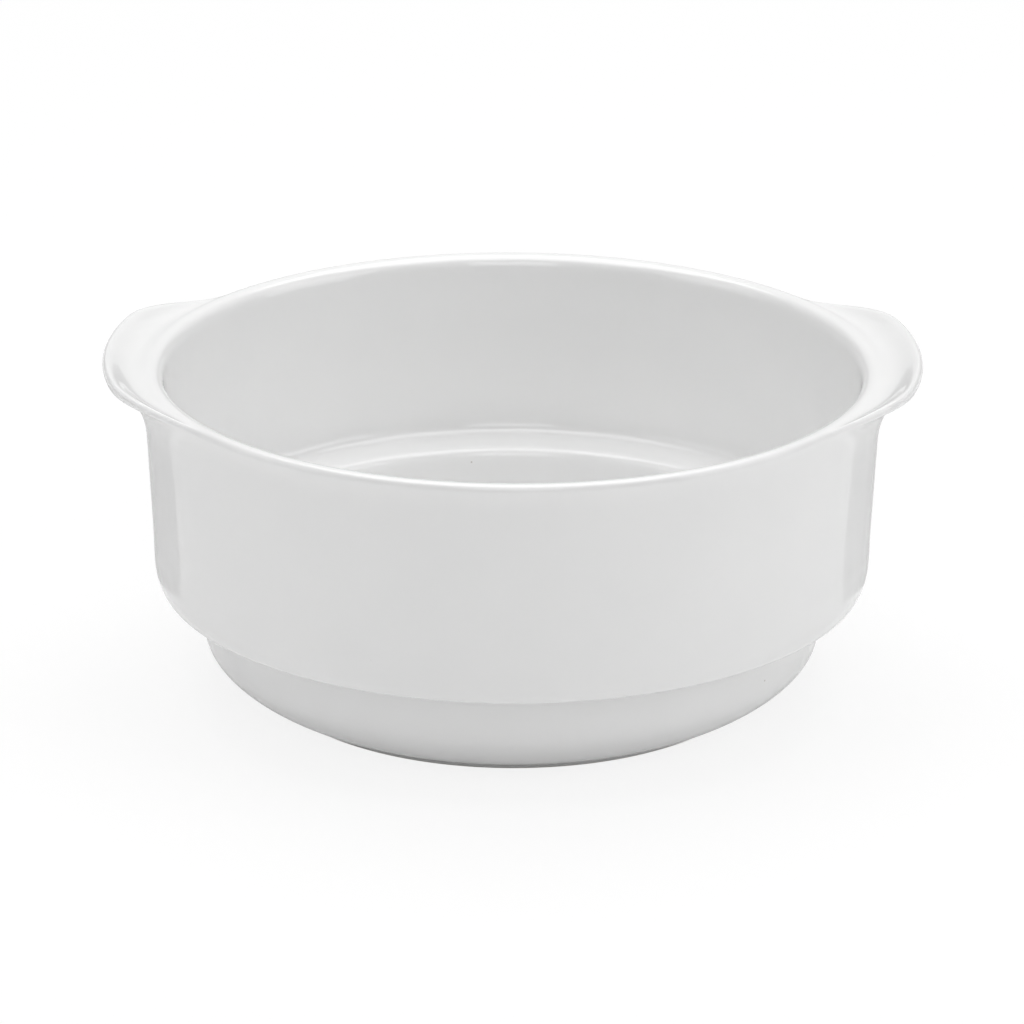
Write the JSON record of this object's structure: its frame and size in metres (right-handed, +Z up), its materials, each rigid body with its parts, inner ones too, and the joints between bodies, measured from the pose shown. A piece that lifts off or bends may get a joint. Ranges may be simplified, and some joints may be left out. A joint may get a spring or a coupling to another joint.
{
  "type": "soup bowl",
  "caption": "Stackable white porcelain soup bowl with straight walls, a stepped stacking band, a foot ring and a flat lug on each side of the rim.",
  "frame": {"origin": "middle of the foot ring's resting face, under the bowl's axis", "axes": "+Z up along the bowl's axis, +X through the middle of one lug, +Y completes the frame"},
  "size_m": [0.1398, 0.1264, 0.0595],
  "materials": {
    "porcelain": "clear glossy glaze over white porcelain, bare on the ground face of the foot ring"
  },
  "bodies": {
    "root": {"bowl": "porcelain"}
  },
  "joints": []
}
